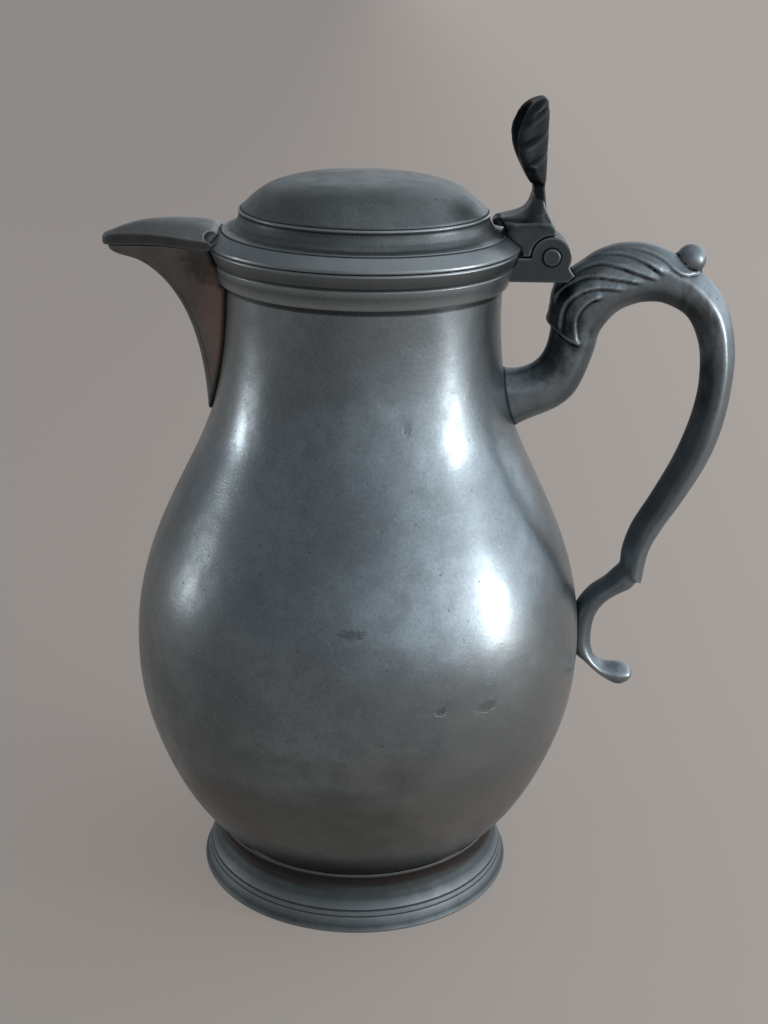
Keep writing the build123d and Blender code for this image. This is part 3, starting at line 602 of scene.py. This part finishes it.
def tarnish_and_shade_off_the_palm(spot, way):
    """The handle's share of tarnish and painted shade: only its outer back is polished by the palm,
    and painted shade falls under the bow.
    """
    turned_in = np.clip((0.5 - way[0]) / 0.45, 0, 1)
    # Painted shade on the faces that turn down, under the bow
    under = np.clip((-way[2] - 0.1) / 0.5, 0, 1) * np.clip((spot[0] - 82) / 10, 0, 1)
    by_neck = np.clip((80 - spot[0]) / 8, 0, 1) * np.clip((spot[2] - 140) / 20, 0, 1)
    # Heights in mm on the bow, and the share there; the stem by the neck has nearly none
    heights, shares = (85, 110, 150, 185, 206), (0.25, 0.6, 0.72, 0.6, 0.1)
    stem_share, shade_under_share = 0.08, 0.6
    bow = (1 - by_neck) * np.interp(spot[2], heights, shares)
    return np.maximum(turned_in * (bow + stem_share * by_neck), shade_under_share * under * turned_in)


# Cast pewter that hands keep bright where they hold it: blue-grey with a soft shine on its
# back, brown tarnish with painted shade inside the bow, and near black where the leaf meets
# the stem
handle_pewter = old_pewter("pewter_cast_and_handled", "#8b959b", "#6a7276", "#544c46", 0.3, 0.35,
                           turned=False, scratched=0.05,
                           # Inside the bow: brown tarnish with painted shade
                           marks=(((107, 0, 188), (8, 90, 26), 0.7, 0.0, "#332c28"),
                                  ((60, 0, 202), (13, 30, 15), 0.85, 0.0, "#202122"),
                                  ((60, 0, 189), (8, 30, 8), 0.5, 0.0, "#262220")))
# Bar, curl and ball become one casting
blank = bar("handle_blank", handle_rows, handle_pewter)
curl = bar("curl_blank", curl_rows, handle_pewter)
work = bmesh.new()
work.from_mesh(blank.data)
work.from_mesh(curl.data)
bmesh.ops.create_uvsphere(work, u_segments=48, v_segments=32, radius=ball_r * MM,
                          matrix=Matrix.Translation(Vector(ball_at) * MM))
work.to_mesh(blank.data)
work.free()
handle = softened("scroll_handle", blank.data, 0.42, 14, handle_pewter)
bpy.data.objects.remove(blank)
bpy.data.objects.remove(curl)
raise_leaf(handle)
# On the handle the ribbons' rims are rubbed brighter as painted highlights, and the grooves between
# them darkened as painted shade
mark_wear_dirt_and_shade(handle, ("body_upper", "body_lower", "hinge_bracket"), bright=1.5, dark=1.3, reach=0.6)
darkened(handle, tarnish_and_shade_off_the_palm)
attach(handle, "jug")
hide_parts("handle")

# Hinge: a bracket cast in pewter and soldered to the mouth moulding, with two ears and a
# riveted pin through them. Oil and dust have turned it dark.

# Cast pewter, blackened: dark grey and dull, brown on the lug's nose and darkest in the sweep
hinge_pewter = old_pewter("pewter_cast_and_blackened", "#565e61", "#43494b", "#37332f", 0.4, 0.38,
                          turned=False, scratched=0.05, edges=0.2,
                          marks=(((41.5, 0, 232), (4, 14, 7), 0.8, 0.0, "#4d4138"),
                                 ((52, 0, 240), (11, 16, 9), 0.75, 0.0, "#24221f")))
bracket = softened("hinge_ears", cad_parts["hinge_bracket"].data, 0.28, 6, hinge_pewter)
mark_wear_dirt_and_shade(bracket, ("hinge_pin", "rim_band"), reach=0.5)
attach(bracket, "jug")
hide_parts("hinge_bracket")
rivet = softened("pin_with_riveted_heads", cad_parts["hinge_pin"].data, 0.22, 3, hinge_pewter)
mark_wear_dirt_and_shade(rivet)
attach(rivet, "jug")
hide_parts("hinge_pin")

# Lid: turned from one casting, with a low dome, a hollow moulding round it and a sloping
# flange. It is handled most at its edges, which are a little brighter than the top.

# Turned pewter gone dull: an even grey with a broad, weak shine and a few scratches
lid_pewter = old_pewter("pewter_turned_and_dulled", "#6f7576", "#5c6162", "#5c5650", 0.25, 0.38,
                        scratched=0.2, edges=0.45)
# The dome's top and its underside, from radius and height in mm
dome = through(((39.55, 235.95), (38.0, 237.3), (36.0, 239.2), (31.2, 242.5), (24.0, 244.8),
                (18.0, 245.5), (9.0, 245.8), (0.0, 245.9)), 48)
under = through(((0.0, 244.1), (18.0, 243.7), (24.0, 242.9), (30.4, 240.9), (35.0, 238.0),
                 (37.6, 235.4)), 24)
lid = turned_piece("domed_lid", rounded((
    (43.1, 224.25), (50.2, 224.25, 0.25), (50.5, 224.6, 0.3), (50.45, 225.3, 0.5),
    (46.5, 228.35, 0.3), (45.95, 228.55, 0.15), (45.7, 229.0, 0.25), (43.0, 229.5, 3.0),
    (41.3, 231.0, 3.0), (40.3, 233.2, 3.0), (40.3, 234.4, 0.5), (40.55, 235.0, 0.3),
    (40.25, 235.5, 0.3), (39.5, 235.45, 0.12),
    *[tuple(p) for p in dome], *[tuple(p) for p in under],
    (38.6, 232.5, 1.0), (43.1, 226.05, 0.3))), lid_pewter)
mark_wear_dirt_and_shade(lid)
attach(lid, "lid")
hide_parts("lid_dome")
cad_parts["lid_ring"].data.materials.clear()
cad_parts["lid_ring"].data.materials.append(lid_pewter)

# Flap: a hollow casting soldered to the lid, which covers the beak. A shallow thumbnail scoop
# marks each side where its top meets the lid's flange.

# Cast pewter, rubbed on top by thumbs: the palest metal of the lid, with a soft shine
flap_pewter = old_pewter("pewter_cast_and_dulled", "#8e8f8e", "#767776", "#645d57", 0.3, 0.36,
                         turned=False, scratched=0.04)
# Rows from the tip to the lid, in mm: reach in front of the neck, half width, and the heights
# of the low edge, the crease and the ridge
flap_rows = (
    (38.9, 0.8, 223.3, 225.1, 225.4), (38.6, 1.7, 222.95, 225.7, 226.1),
    (37.8, 2.7, 222.9, 226.1, 226.7), (36.0, 3.7, 222.95, 226.5, 227.4),
    (32.0, 5.2, 223.3, 227.1, 229.1), (26.0, 7.7, 223.9, 227.5, 230.8),
    (18.5, 10.9, 224.3, 227.7, 231.55), (10.0, 14.2, 224.0, 227.2, 231.5),
    (6.0, 15.7, 223.7, 227.0, 231.1), (4.0, 16.4, 223.8, 227.0, 230.7),
    (2.6, 17.0, 224.2, 226.9, 230.2), (1.4, 17.5, 224.7, 226.8, 229.0),
    (0.0, 18.0, 225.0, 226.7, 227.8))
# Its wall in mm, and the shoulder of its arch, as shares of the half width and of the rise
flap_wall, shoulder_out, shoulder_up = 1.3, 0.55, 0.8
rings = []
for reach, half, low, crease, ridge in through(flap_rows, 70):
    arch = crease + shoulder_up * (ridge - crease)
    inner, deep = max(half - flap_wall, 0.3), max(ridge - low - 2 * flap_wall, 0.1)
    section = rounded([
        (-half, low, 0.4), (-half, crease, 0.5), (-shoulder_out * half, arch, 40), (0, ridge, 40),
        (shoulder_out * half, arch, 40), (half, crease, 0.5), (half, low, 0.4),
        (inner, low, 0.2), (0, low + deep, 3.0), (-inner, low, 0.2)])
    rings.append([(-neck - reach, y, z) for y, z in section])
blank = lofted("flap_blank", rings, flap_pewter)
scoop_r, scoop_x, scoop_y, scoop_z = 4.8, -45.8, 13.9, 229.5
work = bmesh.new()
for side in (-1, 1):
    middle = Vector((scoop_x, side * scoop_y, scoop_z)) * MM
    bmesh.ops.create_uvsphere(work, u_segments=48, v_segments=32, radius=scoop_r * MM,
                              matrix=Matrix.Translation(middle))
scoops = bpy.data.objects.new("scoops", bpy.data.meshes.new("scoops"))
work.to_mesh(scoops.data)
work.free()
bpy.context.scene.collection.objects.link(scoops)
cut = blank.modifiers.new("scoop", "BOOLEAN")
cut.object, cut.operation, cut.solver = scoops, "DIFFERENCE", "EXACT"
applied(blank)
flap = softened("beak_flap", blank.data, 0.3, 3, flap_pewter)
bpy.data.objects.remove(scoops)
bpy.data.objects.remove(blank)
mark_wear_dirt_and_shade(flap, ("lid_dome",), bright=0.3, reach=0.5)
# The upright sides were never polished and stay nearly black
darkened(flap, lambda spot, way: 0.75 * np.clip((0.62 - way[2]) / 0.4, 0, 1))
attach(flap, "lid")
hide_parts("spout_flap")

# Thumb lever: a lug soldered to the lid turns between the ears, and a curved stem carries a
# cupped shell that the thumb presses. It is the darkest part, rubbed only along its edges.

# The lug's top sweeps up into the stem. Each row, in mm: its place along X, half its width
# below and above, and its height
lug_rows = (
    (41.2, 2.4, 1.6, 233.0), (42.2, 5.0, 4.0, 233.8), (45.3, 7.4, 6.0, 234.4),
    (48.9, 8.0, 5.6, 235.4), (51.5, 8.0, 4.9, 236.9), (53.0, 8.0, 4.5, 239.3),
    (53.9, 8.0, 4.3, 241.9), (56.4, 8.0, 4.3, 241.9), (57.6, 8.0, 4.4, 238.0),
    (58.8, 7.8, 5.2, 234.6), (59.6, 7.6, 6.4, 233.2))
lug_low, lug_side = 231.5, 232.8
rings = []
for x, half, top, high in through(lug_rows, 50):
    hollow, hollow_z = 0.75 * top + 0.25 * half, 0.7 * lug_side + 0.3 * high
    section = rounded([
        (half, lug_low), (half, lug_side, 1.5), (hollow, hollow_z, 3.0), (top, high, 0.6),
        (-top, high, 0.6), (-hollow, hollow_z, 3.0), (-half, lug_side, 1.5), (-half, lug_low)])
    rings.append([(x, y, z) for y, z in section])
sweep = lofted("sweep", rings, hinge_pewter)
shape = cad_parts["lid_lug"].data.copy()
work = bmesh.new()
work.from_mesh(shape)
work.from_mesh(sweep.data)
work.to_mesh(shape)
work.free()
bpy.data.objects.remove(sweep)
lug = softened("lid_knuckle", shape, 0.28, 8, hinge_pewter)
mark_wear_dirt_and_shade(lug, ("lid_dome",), reach=0.5)
# Cast pewter under the thickest tarnish: nearly black, with hardly any shine, and greyer at
# its root
shell_pewter = old_pewter("pewter_cast_and_nearly_black", "#1b1f22", "#15181a", "#171514", 0.3,
                          0.50, turned=False, scratched=0.03, edges=0.12,
                          marks=(((56, 0, 232), (9, 14, 6), 0.7, 0.0, "#4a4e50"),))
shell = softened("thumb_shell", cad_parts["thumbpiece"].data, 0.34, 28, shell_pewter)
mark_wear_dirt_and_shade(shell, ("lid_lug",), bright=0.5, reach=0.4)
for piece, node, slot in ((lug, "lid_lug", "pewter_brown"), (shell, "thumbpiece", "pewter_lid")):
    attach(piece, "lid")
    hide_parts(node)

# Studio: a plain pale floor with painted light on it, brighter towards the right window, a
# tall soft window on the right, a fainter one on the left and an even room that is a little
# darker behind the viewer, as metal shows what stands round it.
board = bpy.data.materials.new("matt_pale_board")
board.use_nodes = True
paint = board.node_tree
paint.nodes.clear()
matt = add(paint, "ShaderNodeBsdfDiffuse", {"Color": linear("#a69e98")})
# Seen directly or in the metal, the board is evened out by this share of glow, and painted
# window light makes it paler towards the window
evened = 0.55
across = add(paint, "ShaderNodeTexCoord").outputs["Object"]
across = add(paint, "ShaderNodeSeparateXYZ", {0: across})
across = add(paint, "ShaderNodeMapRange", {0: across, 1: -0.25, 2: 0.45, 3: 0.9, 4: 1.5},
             interpolation_type="SMOOTHSTEP")
# Painted window light: the board's glow grows towards the right
even = add(paint, "ShaderNodeEmission", {"Color": linear("#a29b96"), "Strength": across})
path = add(paint, "ShaderNodeLightPath").outputs
seen = add(paint, "ShaderNodeMath", {0: path["Is Camera Ray"], 1: path["Is Glossy Ray"]},
           operation="MAXIMUM")
seen = add(paint, "ShaderNodeMath", {0: seen, 1: path["Is Transmission Ray"]},
           operation="MAXIMUM")
seen = add(paint, "ShaderNodeMath", {0: seen, 1: evened}, operation="MULTIPLY")
shown = add(paint, "ShaderNodeMixShader", {0: seen, 1: matt, 2: even})
add(paint, "ShaderNodeOutputMaterial", {"Surface": shown})
floor_mesh = bpy.data.meshes.new("floor")
floor_reach = 80
floor_corners = [(x * floor_reach, y * floor_reach, 0)
                 for x, y in ((-1, -1), (1, -1), (1, 1), (-1, 1))]
floor_mesh.from_pydata(floor_corners, [], [(0, 1, 2, 3)])
floor_mesh.materials.append(board)
floor = bpy.data.objects.new("floor", floor_mesh)
bpy.context.scene.collection.objects.link(floor)

# Each lamp faces the jug's middle: angle round it from the viewer and angle above it in
# degrees, distance, width and height in metres, and power in watts
jug_middle = Vector((0, 0, 0.13))
for name, azimuth, elevation, away, width, height, power in (
        ("window_right", 74, 5, 1.5, 0.14, 0.34, 7),
        ("glow_right", 60, 10, 1.8, 1.2, 1.0, 2.5),
        ("window_left", -98, 4, 1.5, 0.12, 0.24, 1.9),
        ("ceiling", 20, 80, 1.6, 1.6, 1.6, 2)):
    lamp = bpy.data.lights.new(name, "AREA")
    lamp.shape, lamp.size, lamp.size_y, lamp.energy = "RECTANGLE", width, height, power
    around, above = math.radians(azimuth), math.radians(elevation)
    way = Vector((math.sin(around) * math.cos(above), -math.cos(around) * math.cos(above),
                  math.sin(above)))
    holder = bpy.data.objects.new(name, lamp)
    holder.location = jug_middle + way * away
    holder.rotation_mode = "QUATERNION"
    holder.rotation_quaternion = way.to_track_quat("Z", "Y")
    bpy.context.scene.collection.objects.link(holder)

# The room's light grows from its dim left to the window side; seen directly, it is plain
world = bpy.data.worlds.new("room")
world.use_nodes = True
room = world.node_tree
room.nodes.clear()
look = add(room, "ShaderNodeTexCoord").outputs["Generated"]
side = add(room, "ShaderNodeVectorMath", {0: look, 1: (0.98, 0.05, -0.5)},
           operation="DOT_PRODUCT")
light = add(room, "ShaderNodeMapRange",
            {0: side.outputs["Value"], 1: -0.7, 2: 1.0, 3: 0.42, 4: 2.5},
            interpolation_type="SMOOTHSTEP")
sky = add(room, "ShaderNodeBackground", {"Color": linear("#ccd2d8"), "Strength": light})
plain = add(room, "ShaderNodeBackground", {"Color": linear("#a7a29e")})
straight = add(room, "ShaderNodeLightPath").outputs["Is Camera Ray"]
sky = add(room, "ShaderNodeMixShader", {0: straight, 1: sky, 2: plain})
add(room, "ShaderNodeOutputWorld", {"Surface": sky})
bpy.context.scene.world = world
bpy.context.scene.view_settings.view_transform = "Standard"

# The photograph's own viewpoint, found from the jug's circles: metres and radians
lens = bpy.data.cameras.new("viewpoint")
lens.sensor_fit, lens.sensor_height, lens.sensor_width = "VERTICAL", 36, 36
lens.lens = 56.25
camera = bpy.data.objects.new("viewpoint", lens)
camera.location = (0, -0.514746, 0.320904)
pitch, yaw, roll = 0.351732, 0.0158574, 0.0201053
camera.matrix_world = (
    Matrix.Translation(camera.location) @ Matrix.Rotation(-yaw, 4, "Z")
    @ Matrix.Rotation(math.pi / 2 - pitch, 4, "X") @ Matrix.Rotation(roll, 4, "Z"))
bpy.context.scene.collection.objects.link(camera)
bpy.context.scene.camera = camera
